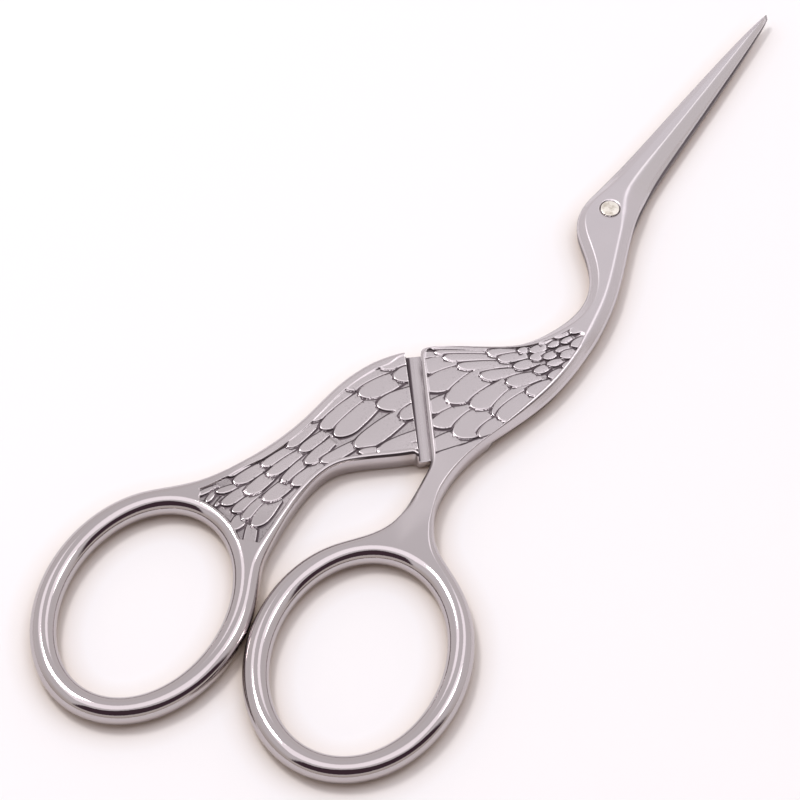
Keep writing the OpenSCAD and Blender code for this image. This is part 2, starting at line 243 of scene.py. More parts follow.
rearEdge = (0.3, 0.3)
backBody = [
    ((-15.6, -52.6), (-5.15, -55.2), (1.1, 1), (1, 0.9), (1, 0.5)),
    ((-14.2, -50.2), (-5.65, -52.4), (0.8, 0.7), (0.7, 0.7), (1, 0.5)),
    ((-13.3, -48), (-5.95, -50), bodyBevel, (0.5, 0.5), (1.2, 0.5)),
    ((-12.5, -45.8), (-6.05, -47.8), bodyBevel, (0.4, 0.4), (1.2, 0.5)),
    ((-11.85, -43.3), (-5.95, -45.8), bodyBevel, rearEdge, (1.2, 0.5)),
    ((-11.4, -40.8), (-5.4, -43.7), bodyBevel, rearEdge, (1.2, 0.5)),
    ((-11.2, -38.3), (-4.2, -42.25), bodyBevel, rearEdge, (1.2, 0.5)),
    ((-11, -35.7), (-2.7, -40.85), bodyBevel, rearEdge, (1.2, 0.5)),
    ((-10.5, -33.2), (-1.2, -39.55), bodyBevel, rearEdge, (1.2, 0.5)),
    ((-9.65, -30.8), (-0.1, -38.55), bodyBevel, rearEdge, (1.2, 0.5)),
    ((-8.5, -28.95), channelSide(0.03, -1), bodyBevel, rearEdge, (1.2, 0.5)),
    (channelSide(1, -1), channelSide(-0.015, -1), rearEdge, rearEdge, (1.2, 0.5)),
]
stepFoot = spline([st[0] for st in frontStations], np.array([frontStep + 1]))[0]
stepHead = spline([st[1] for st in frontStations], np.array([frontStep + 1]))[0]
stepIn = turned(90, (stepHead - stepFoot) / np.linalg.norm(stepHead - stepFoot))
tongueGap = 0.2
neckInset = 0.03


# Point a share of the way along the front half's step, inside it by the tongue's gap
def alongStep(share):
    return mix(stepFoot, stepHead, share) + stepIn * tongueGap


# Station of the tongue, which has the same bevels all along
def tongueStation(left, right):
    return (np.asarray(left, float), np.asarray(right, float), (0.5, 0.4), (0.5, 0.4), (1.4, 0.5))


# A station with both its points drawn in towards each other
def inset(st, by):
    left, right = np.asarray(st[0], float), np.asarray(st[1], float)
    across = (right - left) / np.linalg.norm(right - left) * by
    return (left + across, right - across, st[2], st[3], st[4])


frontPoints = [(np.asarray(st[0], float), np.asarray(st[1], float)) for st in frontBody]
tongue = [
    tongueStation(channelSide(1, -0.2), alongStep(-0.02)),
    tongueStation(channelSide(1, 0.5), alongStep(0.2)),
    tongueStation(frontPoints[6][0] + (0.3, -0.3), alongStep(0.45)),
    tongueStation(frontPoints[7][0] + (0.2, -0.3), alongStep(0.7)),
    tongueStation(mix(frontPoints[7][0], frontPoints[8][0], 0.6) + (0.2, -0.2), alongStep(0.95)),
    tongueStation(frontPoints[8][0] + (0.6, 0.1), frontPoints[3][1] - (0.35, 0)),
    tongueStation(frontPoints[9][0] + (0.2, -0.2), frontPoints[4][1] - (0.25, 0)),
    tongueStation(frontPoints[10][0] + (0.2, -0.2), frontPoints[6][1] - (0.2, 0)),
]
backStations = (ringPart(rings["back"]) + backBody + tongue + [inset(st, neckInset) for st in neckPart]
                + backHead + [mirrored(st) for st in bladePart])
backStep = rings["stations"] + 10
stepRows = 0.03

# Feathers are (tip x, tip y, width, length, lean of the tip towards -X in degrees)
frontFeathers = {
    "depth": 0.2,
    "list": [
        (-4.9, -26.3, 0.8, 6.7, 56), (-3.8, -26.3, 1.1, 6.8, 55), (-2.0, -26.4, 1.2, 5.3, 51),
        (0.7, -26.1, 1.5, 4.4, 45), (3.4, -25.3, 1.7, 3.7, 36), (5.8, -25.1, 1.8, 4.3, 31),
        (-0.4, -23.2, 1.2, 3.7, 54), (1.0, -23.3, 1.2, 3.1, 43), (2.9, -23.2, 1.3, 2.8, 35),
        (5.0, -22.5, 1.1, 2.0, 27), (6.6, -22.2, 1.2, 2.2, 23), (2.1, -21.2, 1.0, 1.5, 44),
        (3.2, -20.6, 1.2, 2.3, 27), (3.7, -21.3, 1.2, 1.9, 31), (4.9, -20.5, 1.1, 1.7, 20),
        (5.6, -20.9, 1.0, 2.0, 35), (6.2, -19.3, 1.2, 1.9, 28), (5.4, -19.0, 1.0, 2.0, 35),
        (4.5, -19.0, 0.9, 1.6, 18), (5.3, -17.8, 0.9, 1.4, 21), (6.4, -17.5, 1.4, 2.3, 21),
        (4.3, -17.7, 0.7, 2.3, 31), (3.4, -19.2, 0.8, 1.9, 31), (7.1, -20.3, 0.9, 1.7, 20),
        (5.5, -16.2, 1.5, 3.4, 3), (7.2, -15.7, 0.9, 3.0, -10), (-5.9, -26.1, 1.1, 9.0, 58),
        (-6.8, -28.8, 2.7, 6.6, 53), (5.3, -29.5, 2.8, 6.8, 16), (4.9, -32.5, 2.8, 7.2, 18),
        (-5.3, -28.9, 2.3, 5.5, 43), (-3.6, -30.9, 2.6, 6.2, 29), (-0.2, -30.8, 2.8, 6.6, 10),
        (2.1, -29.9, 2.5, 6.1, 17), (4.6, -29.5, 2.2, 5.5, 5), (-0.0, -34.1, 2.3, 5.6, 25),
        (2.7, -33.8, 3.3, 5.9, 13), (-1.8, -33.1, 2.2, 5.7, 27), (1.2, -36.9, 2.3, 5.5, 27),
    ],
}
rearFeathers = {
    "depth": 0.2,
    "list": [
        (-10.2, -35.4, 2.0, 5.7, 31), (-8.3, -35.3, 2.3, 5.7, 24), (-9.1, -41.0, 2.0, 6.6, 9),
        (-7.4, -40.9, 2.2, 7.0, 7), (-5.9, -35.4, 2.4, 4.5, 26), (-6.5, -31.5, 2.3, 2.6, 22),
        (-8.7, -31.2, 1.5, 3.8, 34), (-3.0, -35.3, 1.8, 2.3, 5), (-4.9, -40.8, 2.4, 7.1, 13),
        (-2.6, -39.9, 2.1, 5.5, 27), (-6.7, -44.3, 1.4, 4.9, 21), (-10.7, -40.9, 1.5, 6.2, 11),
        (-4.3, -41.1, 1.1, 7.3, 47), (-10.6, -44.8, 1.2, 4.6, 8), (-9.3, -44.5, 1.4, 3.7, 12),
        (-7.9, -45.4, 1.5, 3.9, 7), (-11.4, -48.2, 1.3, 4.6, 17), (-10.3, -48.8, 1.3, 5.1, 14),
        (-8.6, -48.6, 1.3, 4.3, 5), (-7.5, -48.3, 1.6, 4.4, 12), (-12.6, -51.5, 1.5, 4.4, 18),
        (-10.8, -51.9, 1.6, 4.5, 10), (-8.8, -51.5, 1.7, 4.8, 11), (-12.3, -48.0, 0.7, 4.3, 17),
        (-13.5, -51.2, 0.7, 4.2, 18), (-12.0, -54.3, 1.4, 3.7, 14), (-10.6, -54.4, 1.3, 3.8, 12),
        (-9.2, -54.5, 1.4, 3.9, 4), (-7.9, -54.6, 1.7, 4.3, -1), (-13.4, -53.4, 0.9, 3.1, 33),
        (-14.9, -54.9, 0.7, 2.6, 26), (-13.5, -55.0, 0.7, 1.9, -3), (-12.4, -54.9, 0.6, 1.6, -5),
        (-9.4, -56.2, 1.5, 2.9, -6), (-6.6, -57.5, 1.4, 4.4, -27),
    ],
}

# Form of every feather: shares of its width, length and depth, and in mm the widths of the painted shadow
# lines along its outline, wider at the tip and on one side
featherForm = {
    "run": (0.75, 0.1),
    "taper": 0.25,
    "bend": 0.13,
    "fall": 0.42,
    "tilt": 0.12,
    "crown": 0.1,
    "dip": 0.2,
    "line": 0.062,
    "tipLine": 0.045,
    "sideLine": 0.03,
}
lineReach = 4.0
lineFade = 2.4


# How close a place is to an outline: exp(-(edge / fade)^2), where edge is in line widths
def closeness(edge):
    return np.exp(-(edge / lineFade) ** 2)


# Shingled feathers, where a runs back from a tip and b across it. Half width: width / 2
# sqrt(1 - (1 - a / run)^2), then tapering a little. Plate: depth (1 - fall a / length
# - tilt (b / width + 1/2) - crown (2 b / width)^2). Height: the largest plate, softened at its
# outline, less the depth and a dip along the lines. Edge: the signed distance to the nearest
# outline in sight, (|b| - half) / sqrt(1 + half'^2), in line widths
def plumage(x, y, feathers):
    form, depth = featherForm, feathers["depth"]
    places = []
    best = np.zeros_like(x)
    edge = np.full_like(x, -lineReach)
    for tipX, tipY, width, length, lean in feathers["list"]:
        t = math.radians(lean)
        dx, dy = x - tipX, y - tipY
        a = dx * math.sin(t) + dy * math.cos(t)
        b = dx * math.cos(t) - dy * math.sin(t)
        near = (a > -0.5) & (a < length + 0.3) & (np.abs(b) < 0.9 * width + 0.4)
        a, b = a[near], b[near]
        run = form["run"][0] * width + form["run"][1] * length
        swell = lambda v: 1 - (1 - np.clip(v / run, 0, 1)) ** 2
        half = lambda v: width / 2 * np.sqrt(swell(v)) * (1 - form["taper"] * ease(v / length, 0.45, 1.1))
        off = np.abs(b - form["bend"] * width * swell(a))
        slope = (half(a + 0.03) - half(a - 0.03)) / 0.06
        out = np.where(a < 0, np.hypot(a, b), (off - half(a)) / np.sqrt(1 + slope ** 2))
        broad = (form["line"] + form["tipLine"] * np.exp(-(a / (0.5 * width)) ** 2)
                 + form["sideLine"] * ease(b / width, -0.2, 0.4))
        out = np.where(a > length, 9, out) / broad
        plate = depth * (1 - form["fall"] * np.clip(a / length, 0, 1.2) - form["tilt"] * (b / width + 0.5)
                         - form["crown"] * (b / (width / 2)) ** 2)
        height = plate * ease(half(a) - off, -0.03, 0.09) * ease(a, -0.03, 0.05) * fall(a / length, 1, 1.08)
        edge[near] = np.where(height > best[near], out, edge[near])
        best[near] = np.maximum(best[near], height)
        places.append((near, plate, out))
    # Outside a feather that stands over its neighbours, its outline runs on as a painted shadow line below
    # its edge
    for near, plate, out in places:
        over = (plate > best[near] + 0.01 * depth) & (out > 0) & (0.6 * out < np.abs(edge[near]))
        edge[near] = np.where(over, 0.6 * out, edge[near])
    edge = np.clip(edge, -lineReach, lineReach)
    # Painted shade darkens the low places between the plates, and dirt specks lie there too
    speck = ease(noise(x, y, 0.09, 5), 0.15, 0.7) * fall(best, 0.5 * depth, 0.9 * depth)
    shadeAndSpecks = 0.3 * fall(best, 0.15 * depth, 0.4 * depth) + 0.3 * speck
    dip = form["dip"] * depth * np.exp(-edge ** 2) * ease(best, 0.2 * depth, 0.5 * depth)
    return best - depth - dip, shadeAndSpecks, edge, closeness(edge)


# Rows along a half: n steps between each pair of named places, and a pair of rows for its step
def rowPlaces(spans, step):
    rows = np.concatenate([np.linspace(a, b, n, endpoint=False) for a, b, n in spans] + [[spans[-1][1]]])
    rows = rows[np.abs(rows - step - stepRows / 2) > stepRows]
    return np.sort(np.concatenate([rows, [step, step + stepRows]]))


# Edge from wall to flat as (way in, drop). Round, for a flatness of 1: quarter of an ellipse,
# (w (1 - cos a), d (1 - sin a)). Straight, for 1.5 or more: the chamfer line from (0, d) to (w, 0),
# its crest rounded by an arc of radius r that touches both, which takes r tan(slope / 2) of each
def edgeArc(bevel, flatness, count, radius):
    w, d = bevel[:, :1], bevel[:, 1:]
    a = np.radians(np.linspace(0, 90, count))
    straight = count // 3 + 1
    slope = np.arctan2(d, w)
    r = np.minimum(radius[:, None], 0.45 * w / np.tan(slope / 2))
    reach = r * np.tan(slope / 2)
    along = np.linspace(0, 1, straight)
    lineIn, lineDrop = (w - reach * np.cos(slope)) * along, d + (reach * np.sin(slope) - d) * along
    turn = slope * np.linspace(1, 0, count - straight + 1)[1:]
    arcIn, arcDrop = w + reach - r * np.sin(turn), r * (1 - np.cos(turn))
    share = ease(flatness, 1.0, 1.5)[:, None]
    return (w * (1 - np.cos(a)) * (1 - share) + np.concatenate([lineIn, arcIn], 1) * share,
            d * (1 - np.sin(a)) * (1 - share) + np.concatenate([lineDrop, arcDrop], 1) * share)


# Form of a half beyond its stations: the fork's middle as a share of the wire, how much the point
# narrows, and in mm how far the ring is drawn in, the lapped edge's break and the crest's radii
halfForm = {
    "fork": 0.55,
    "narrowing": 0.85,
    "ringTrim": 0.03,
    "lapBreak": (0.06, 0.05),
    "crestRadius": 0.5,
    "neckRadius": {1: 0.6, -1: 2.2},
    # How dark the painted shadow is on the wall along the seam between the halves
    "seamShade": 0.9,
}


# One side of a half, as a grid of rows by columns that runs round the section: the floor from
# the middle outwards, the outer wall, the top back to the middle, and the hole's wall
def sideGrid(stations, oval, step, rows, side, counts, relief):
    last = len(stations) - 2
    pick = lambda k: spline([st[k] for st in stations], rows + 1)
    left, right, shape = pick(0), pick(1), pick(4)
    outer, bevel = (left, pick(2)) if side > 0 else (right, pick(3))
    bladeShare = np.clip((rows - last + 7) / 7, 0, None)
    top = lap + common["lapGap"] / 2 + layer + (common["tipThickness"] - layer) * bladeShare
    full = rows <= step
    floor = np.where(full, 0, lap + common["lapGap"] / 2)
    onRing = rows <= rings["stations"]
    angle = oval["crotch"] + side * ringStep * (rings["stations"] - rows)
    fork = ovalPoint(oval, oval["crotch"], halfForm["fork"] * common["wire"])
    share = ease((rows - rings["stations"]) / 2)[:, None]
    middle = fork * (1 - share) + (right + (left - right) * shape[:, 1:]) * share
    inner = np.where(onRing[:, None], ovalPoint(oval, angle), middle)
    point = 1 - halfForm["narrowing"] * ease(rows, last - 0.6, last + 0.35)[:, None] ** 2
    outer, bevel = inner + (outer - inner) * point, bevel * np.concatenate([point, np.ones_like(point)], 1)
    out = ovalNormal(oval, angle) * onRing[:, None]
    outer = outer - halfForm["ringTrim"] * out * fall(rows, 8, 10)[:, None]
    inwards = (inner - outer) / np.linalg.norm(inner - outer, axis=1, keepdims=True)
    plain, neckRound = halfForm["crestRadius"], halfForm["neckRadius"][side]
    radius = np.interp(rows, [last - 17, last - 14, last - 8, last - 5], [plain, neckRound, neckRound, plain])
    topIn, topDrop = edgeArc(bevel, shape[:, 0], counts["arc"], radius)
    lapBreak = np.where(full[:, None], bevel, halfForm["lapBreak"])
    floorIn, floorDrop = edgeArc(lapBreak, np.where(full, shape[:, 0], 1.0), counts["lapArc"], radius)
    holeBevel = np.tile(wireBevel, (len(rows), 1))
    holeIn, holeDrop = edgeArc(holeBevel, np.ones(len(rows)), counts["hole"], radius)
    holeDrop = holeDrop * onRing[:, None]
    xy, z, kind = [], [], []

    def add(points, heights, name):
        xy.append(points)
        z.append(heights)
        kind.extend([name] * points.shape[1])

    arcXY = lambda base, way, along: base[:, None] + along[:, None] * way[..., None]
    floorOuter = arcXY(outer, floorIn, inwards)
    topOuter = arcXY(outer, topIn, inwards)
    hole = arcXY(inner, holeIn, out)
    gridBetween = lambda a, b, m: a[:, None] + (b - a)[:, None] * np.linspace(0, 1, m + 2)[1:-1, None]
    level = lambda height, m: np.tile(height[:, None], m)
    add(gridBetween(hole[:, -1], floorOuter[:, -1], counts["floor"]), level(floor, counts["floor"]), "floor")
    add(floorOuter[:, ::-1], floor[:, None] + floorDrop[:, ::-1], "edge")
    add(topOuter, top[:, None] - topDrop, "edge")
    add(gridBetween(topOuter[:, -1], hole[:, -1], counts["top"]), level(top, counts["top"]), "top")
    add(hole[:, ::-1], top[:, None] - holeDrop[:, ::-1], "holeTop")
    add(hole, floor[:, None] + holeDrop, "holeFloor")
    xy, z, kind = np.concatenate(xy, 1), np.concatenate(z, 1), np.array(kind)
    faces = {name: (kind == name)[None] | (kind == other)[None] & ~onRing[:, None]
             for name, other in (("top", "holeTop"), ("floor", "holeFloor"))}
    crest = {"top": topOuter[:, -1], "floor": floorOuter[:, -1]}
    z, patinaAndShade, edge, close = relief(xy, z, faces, rows, side, crest)
    isEdge = np.tile((kind == "edge")[None], (len(rows), 1))
    # Painted shadow on the wall just beside the lapped seam, where the other half overhangs it
    seamRows = ease(rows, last - 11, last - 10) if side < 0 else (
        ease(rows, last - 14, last - 13) * fall(rows, last - 9.5, last - 8.5))
    seam = seamRows[:, None] * isEdge * fall(z, 1.39, 1.41) * (z > 1.31)
    patinaAndShade = np.maximum(patinaAndShade, halfForm["seamShade"] * seam)
    ground = isEdge * ease(rows, last - 7.6, last - 6.2)[:, None] * (side == counts["groundSide"])
    satin = np.tile(ease(rows, 9.0, 11.5)[:, None], len(kind))
    return np.concatenate([xy, z[..., None]], -1), (patinaAndShade, ground, satin, edge, close), kind


# A mesh in the frame from points in mm, with flat attributes: x and y move to the pivot's place
def makeMesh(name, points, faces, attributes=(), sharp=None):
    points = points.astype(float).copy()
    points[:, :2] += common["pivotPlace"]
    mesh = bpy.data.meshes.new(name)
    mesh.from_pydata((points / 1000).tolist(), [], faces)
    for key, values in attributes:
        layerData = mesh.attributes.new(key, "FLOAT", "POINT")
        layerData.data.foreach_set("value", np.asarray(values, np.float32))
    mesh.polygons.foreach_set("use_smooth", np.ones(len(mesh.polygons), bool))
    if sharp is not None:
        mesh.set_sharp_from_angle(angle=math.radians(sharp))
    mesh.validate()
    piece = bpy.data.objects.new(name, mesh)
    bpy.context.collection.objects.link(piece)
    return piece


# A half from its two sides: points that meet are merged, and faces keep their three or four corners.
# A fan from the middle of the top closes the blade's end, but for a sliver at the foot of the fan
def makeHalf(name, stations, oval, step, counts, relief, flipped):
    rows = rowPlaces(counts["rows"], step)
    grids, marks = [], []
    for side in (1, -1):
        grid, marked, kind = sideGrid(stations, oval, step, rows, side, counts, relief)
        grids.append(grid)
        marks.append(marked)
    rowCount, columnCount = grids[0].shape[:2]
    points = np.concatenate([g.reshape(-1, 3) for g in grids])
    _, first, ids = np.unique(np.round(points, 5), axis=0, return_index=True, return_inverse=True)
    ids = ids.reshape(2, rowCount, columnCount)
    firstHole = int(np.argmax(kind == "holeTop"))
    onRing = rows[:-1] < rings["stations"] - 1e-6
    columns = np.arange(columnCount)
    offHole = (columns < firstHole) | (columns == columnCount - 1)
    keep = onRing[:, None] | offHole[None]
    faces = []
    for k in (0, 1):
        a, b = ids[k, :-1], ids[k, 1:]
        nextA, nextB = np.roll(a, -1, 1), np.roll(b, -1, 1)
        quads = np.stack([a, nextA, nextB, b] if k == 0 else [a, b, nextB, nextA], -1)
        faces.append(quads[keep])
    endLoop = np.concatenate([ids[0, -1, :firstHole + 1], ids[1, -1, firstHole::-1]])
    fan = np.stack([np.full(len(endLoop) - 1, ids[0, -1, firstHole]), endLoop[:-1], endLoop[1:]], -1)
    faces = np.concatenate(faces + [np.concatenate([fan, fan[:, :1]], 1)])
    if flipped:
        faces = faces[:, ::-1]
    same = faces == np.roll(faces, 1, axis=1)
    quads = faces[~same.any(1)]
    thin = faces[same.sum(1) == 1]
    tris = thin[~same[same.sum(1) == 1]].reshape(-1, 3)
    tris = tris[(tris[:, 0] != tris[:, 1]) & (tris[:, 1] != tris[:, 2]) & (tris[:, 0] != tris[:, 2])]
    solid = points[first]
    if flipped:
        solid = solid * (1, 1, -1) + (0, 0, common["thickness"])
    merged = lambda k: np.concatenate([marked[k].ravel() for marked in marks])[first]
    attributes = [(key, merged(k)) for k, key in enumerate(("patinaAndShade", "ground", "satin", "edge", "close"))]
    print(name, "points", len(solid), "triangles", 2 * len(quads) + len(tris))
    return makeMesh(name, solid, quads.tolist() + tris.tolist(), attributes)


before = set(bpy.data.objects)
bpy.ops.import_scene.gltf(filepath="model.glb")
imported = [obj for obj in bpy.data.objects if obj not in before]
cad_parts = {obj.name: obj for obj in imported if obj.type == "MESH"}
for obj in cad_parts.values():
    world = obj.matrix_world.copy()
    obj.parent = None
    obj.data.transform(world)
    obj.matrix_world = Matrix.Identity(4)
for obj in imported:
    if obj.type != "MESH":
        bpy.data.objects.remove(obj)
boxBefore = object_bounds()
print("frame loaded")


# Detail of the front half: the painted shadow line along the seam, the painted shade line on the
# leg's lower edge and the ring cut round the screw end, painted dark as shade
frontDetail = {
    "borderFoot": (2.14, -37.0),
    "borderAcross": (-0.828, 0.561),
    "borderAt": 0.06,
    "borderWidth": 0.09,
    "bodyFrom": 14.4,
    "grooveIn": (0.97, 1.02),
    "grooveOut": (1.06, 1.2),
    "grooveDepth": 0.12,
}


# Relief of the front half: z + feather height where its top is feathered - groove depth * groove,
# with painted shade and dirt specks between the feathers, painted shade in the groove and a painted shade
# line on the leg's edge
def frontRelief(xy, z, faces, rows, side, crest):
    form = frontDetail
    x, y = xy[..., 0], xy[..., 1]
    onBody = (rows > form["bodyFrom"])[:, None]
    fromCrest = np.linalg.norm(xy - crest["top"][:, None], axis=-1)
    rim = np.where(side > 0, 0.03 + 0.2 * ease(rows, 20.2, 21.6), 0)[:, None]
    above = ((x - form["borderFoot"][0]) * form["borderAcross"][0]
             + (y - form["borderFoot"][1]) * form["borderAcross"][1])
    inField = ease(fromCrest, rim, rim + 0.1) * fall(y, -16.0, -15.2) * faces["top"]
    inField = inField * ease(above, 0, 0.12) * onBody
    height, shadeAndSpecks, edge, close = plumage(x, y, frontFeathers)
    # The field's border along the seam is drawn as a painted shadow line
    border = np.clip((above - form["borderAt"]) / form["borderWidth"], -lineReach, lineReach)
    edge = np.where((np.abs(border) < np.abs(edge)) & onBody, border, edge)
    close = np.maximum(close * inField, closeness(border) * onBody * faces["top"])
    # Painted shade: a dark line on the leg's left wall, for the shadowed floor that it reflects
    legEdgeShade = fall(z, 2.25, 2.45) * ease(z, 2.1, 2.14) * (side > 0)
    legEdgeShade = legEdgeShade * (ease(rows, 10.5, 11.5) * fall(rows, 14.0, form["bodyFrom"]))[:, None]
    r = np.hypot(x, y)
    # The groove round the screw end is cut and also painted dark as shade
    groove = ease(r, *form["grooveIn"]) * fall(r, *form["grooveOut"]) * faces["top"]
    patinaAndShade = np.clip(shadeAndSpecks * inField + groove + legEdgeShade, 0, 1)
    return z + height * inField - form["grooveDepth"] * groove, patinaAndShade, edge, close


# Detail of the back half: how far the bare rim goes out from the ring's hole, the screw head's
# pocket, and the fillet and the painted shade where the channel meets the tongue
backDetail = {
    "bareRim": 1.3,
    "pocket": (1.62, 1.66),
    "pocketDepth": 0.64,
    "filletWidth": 0.4,
    "filletHeight": 0.3,
    "wallShade": 0.85,
    "seamShade": 0.7,
    "offMiddleShade": 0.16,
}


# Relief of the back half, which is built upside down, so that its floor is the side in sight:
# z - feather height - pocket - fillet. Fillet: height (1 - sqrt(1 - (1 - d / width)^2)), d from the
# wall. Painted shade lies at the channel's foot and under the seam, and a little away from the tongue's
# middle, which leaves a painted highlight line there; a dark band runs along the low edge
def backRelief(xy, z, faces, rows, side, crest):
    form, ring = backDetail, rings["back"]
    x, y = xy[..., 0], xy[..., 1]
    fromCrest = np.linalg.norm(xy - crest["floor"][:, None], axis=-1)
    rim = np.where(side > 0, 0.45 * fall(rows, 18.6, 19.6) + 0.02, 0.15)[:, None]
    inField = ease(fromCrest, rim, rim + 0.1) * (rows < backStep - 0.02)[:, None] * (rows > 9)[:, None]
    bareHalf = np.asarray(ring["size"]) / 2 + form["bareRim"]
    ringEdge = np.linalg.norm(turned(-ring["lean"], xy - ring["centre"]) / bareHalf, axis=-1)
    inField = inField * ease(ringEdge, 1.0, 1.02) * faces["floor"]
    height, shadeAndSpecks, edge, close = plumage(x, y, rearFeathers)
    pocket = fall(np.hypot(x, y), *form["pocket"]) * faces["top"] * form["pocketDepth"]
    fromWall = (xy - channelFoot) @ channelAcross + channelHalf
    onTongue = faces["floor"] * (rows > backStep + 0.02)[:, None]
    away = 1 - np.clip(fromWall / form["filletWidth"], 0, 1)
    fillet = form["filletHeight"] * (1 - np.sqrt(np.clip(1 - away ** 2, 0, 1))) * onTongue
    # Painted shade at the foot of the channel's wall and under the front half's seam, and a little across the
    # tongue but for its middle, which is left as a painted highlight line
    shadeAndDirt = form["wallShade"] * fall(fromWall, 0.3, 0.5) + form["seamShade"] * ease(fromWall, 1.3, 1.5)
    shadeAndDirt = (shadeAndDirt + form["offMiddleShade"] * (1 - np.exp(-((fromWall - 0.95) / 0.17) ** 2))) * onTongue
    lowEdge = ease(z, 0.015, 0.05) * fall(z, 0.24, 0.29) * (side < 0)
    lowEdge = lowEdge * (ease(rows, 14.5, 16.0) * (rows < backStep + 0.01))[:, None]
    patinaAndShade = np.clip(shadeAndSpecks * inField + shadeAndDirt + lowEdge, 0, 1)
    return z - height * inField - pocket - fillet, patinaAndShade, edge, close * inField


# Grids of the halves: rows as (from, to, steps) in stations, and columns on each stretch of the
# section. A row has to lie at station 10, where the ring closes
frontGrid = {
    "rows": [(0, 10, 60), (10, 14.5, 30), (14.5, 26.2, 325), (26.2, 32, 24), (32, 35.3, 50), (35.3, 42, 20)],
    "arc": 11,
    "lapArc": 5,
    "hole": 8,
    "floor": 2,
    "top": 74,
    "groundSide": -1,
}
backGrid = {
    "rows": [(0, 8, 48), (8, 10, 48), (10, 20, 240), (20, 21.6, 26), (21.6, 36, 50), (36, 39.3, 50),
             (39.3, 46, 20)],
    "arc": 9,
    "lapArc": 9,
    "hole": 8,
    "floor": 70,
    "top": 8,
    "groundSide": 1,
}
frontHalf = makeHalf("frontHalf", frontStations, rings["front"], frontStep, frontGrid, frontRelief, False)
backHalf = makeHalf("backHalf", backStations, rings["back"], backStep, backGrid, backRelief, True)
print("halves made")

screw = {
    "end": 2.68,
    "crown": 0.03,
    "flatEnd": 0.9,
    "shank": 1.0,
    "endRim": 0.06,
    "head": 1.6,
    "headHeight": 0.6,
    "headRim": 0.05,
    "slot": 0.6,
    "slotDepth": 0.35,
    "slotWall": 0.02,
    "around": 128,
    "faceRows": 40,
}


# The screw is a profile (r, z) turned about the pivot: crowned end, rounded rim, shank, head with
# both its rims rounded, and flat face. A slot is sunk across the face where |y| < slot / 2
def makeScrew():
    form, n = screw, screw["around"]
    rim = np.radians(np.linspace(0, 90, 6))
    endFace = np.linspace(0, form["flatEnd"], 10)
    headIn = form["head"] - form["headRim"]
    r = np.concatenate([endFace, form["shank"] - form["endRim"] + form["endRim"] * np.sin(rim),
                        np.full(3, form["shank"]), headIn + form["headRim"] * np.sin(rim),
                        headIn + form["headRim"] * np.cos(rim),
                        np.linspace(headIn - 0.01, 0, form["faceRows"])])
    z = np.concatenate([form["end"] - form["crown"] * (endFace / form["flatEnd"]) ** 2,
                        form["end"] - form["crown"] - form["endRim"] * (1 - np.cos(rim)),
                        [2.0, 1.0, form["headHeight"]],
                        form["headHeight"] - form["headRim"] * (1 - np.cos(rim)),
                        form["headRim"] - form["headRim"] * np.sin(rim), np.zeros(form["faceRows"])])
    a = np.linspace(0, 2 * np.pi, n, endpoint=False)
    x, y = r[:, None] * np.cos(a), r[:, None] * np.sin(a)
    onFace = np.arange(len(r))[:, None] >= len(r) - form["faceRows"] - len(rim)
    wall = (form["slot"] / 2 - form["slotWall"], form["slot"] / 2 + form["slotWall"])
    heights = np.tile(z[:, None], n) + form["slotDepth"] * fall(np.abs(y), *wall) * onFace
    points = np.stack([x, y, heights], -1)[1:-1].reshape(-1, 3)
    ids = np.arange(len(points)).reshape(-1, n)
    following = np.roll(ids, -1, 1)
    quads = np.stack([ids[:-1], ids[1:], following[1:], following[:-1]], -1).reshape(-1, 4)
    points = np.concatenate([points, [(0, 0, form["end"]), (0, 0, form["slotDepth"])]])
    topFan = np.stack([np.full(n, len(points) - 2), ids[0], following[0]], -1)
    endFan = np.stack([np.full(n, len(points) - 1), following[-1], ids[-1]], -1)
    return makeMesh("pivotScrew", points, quads.tolist() + topFan.tolist() + endFan.tolist(), sharp=50)


pivotScrew = makeScrew()
print("screw made")


# A node of a kind, at a place in its tree, with inputs set by name
def nodeIn(tree, kind, at, **inputs):
    n = tree.nodes.new(kind)
    n.location = at
    for key, value in inputs.items():
        n.inputs[key.replace("_", " ")].default_value = value
    return n


# A mesh attribute's values
def attributeIn(tree, name, at):
    n = nodeIn(tree, "ShaderNodeAttribute", at)
    n.attribute_name = name
    return n.outputs["Fac"]


# A number or an output put into an input
def feed(tree, value, socket):
    if isinstance(value, (int, float)):
        socket.default_value = value
    else:
        tree.links.new(value, socket)


# One step of arithmetic on numbers or outputs
def maths(tree, operation, at, *values):
    n = nodeIn(tree, "ShaderNodeMath", at)
    n.operation = operation
    for k, value in enumerate(values):
        feed(tree, value, n.inputs[k])
    return n.outputs[0]


# A value carried from one range to another, held at its ends, by a line or by the smooth step
def ranged(tree, value, source, target, at, way="SMOOTHSTEP"):
    n = nodeIn(tree, "ShaderNodeMapRange", at)
    n.interpolation_type = way
    feed(tree, value, n.inputs["Value"])
    n.inputs["From Min"].default_value, n.inputs["From Max"].default_value = source
    n.inputs["To Min"].default_value, n.inputs["To Max"].default_value = target
    return n.outputs["Result"]


# Two colours mixed by a factor, each a triple or an output
def blend(tree, factor, a, b, at):
    n = nodeIn(tree, "ShaderNodeMix", at)
    n.data_type = "RGBA"
    tree.links.new(factor, n.inputs["Factor"])
    for value, socket in ((a, n.inputs["A"]), (b, n.inputs["B"])):
        if isinstance(value, tuple):
            socket.default_value = value + (1,)
        else:
            tree.links.new(value, socket)
    return n.outputs["Result"]


